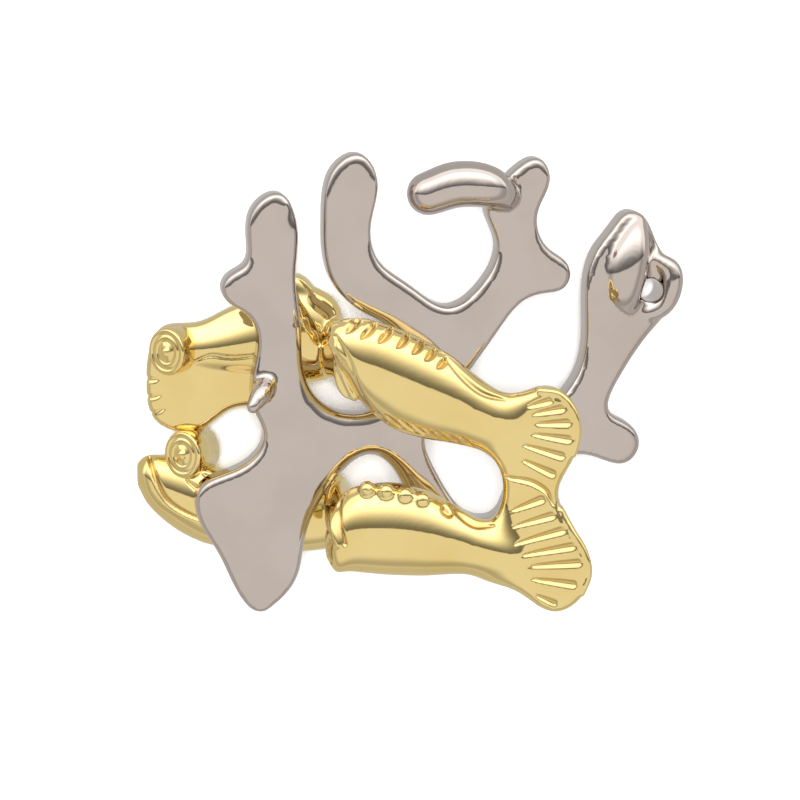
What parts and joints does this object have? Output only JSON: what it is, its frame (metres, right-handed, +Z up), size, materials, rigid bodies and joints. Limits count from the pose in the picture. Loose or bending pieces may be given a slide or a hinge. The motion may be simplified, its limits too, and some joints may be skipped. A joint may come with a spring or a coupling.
{
  "type": "metal disentanglement puzzle",
  "caption": "Cast metal puzzle: a gold ring of two fish linked through the gaps of a branching silver coral.",
  "frame": {"origin": "middle of the footprint, on the table that the puzzle lies on", "axes": "+Z up out of the coral's front face as it lies on its back, +X from the fish heads to the tails, +Y up the coral"},
  "size_m": [0.0624, 0.051, 0.0213],
  "materials": {
    "gold_plate": "mirror polished",
    "silver_plate": "mirror polished"
  },
  "bodies": {
    "fish_ring": {"fish_ring": "gold_plate"},
    "coral": {"coral": "silver_plate"}
  },
  "joints": [
    {"name": "coral_swing", "type": "hinge", "parent": "fish_ring", "child": "coral", "pos_m": [-0.00822, -0.002, 0.01047], "axis": [0, 1, 0], "range_deg": [0, 45]}
  ]
}
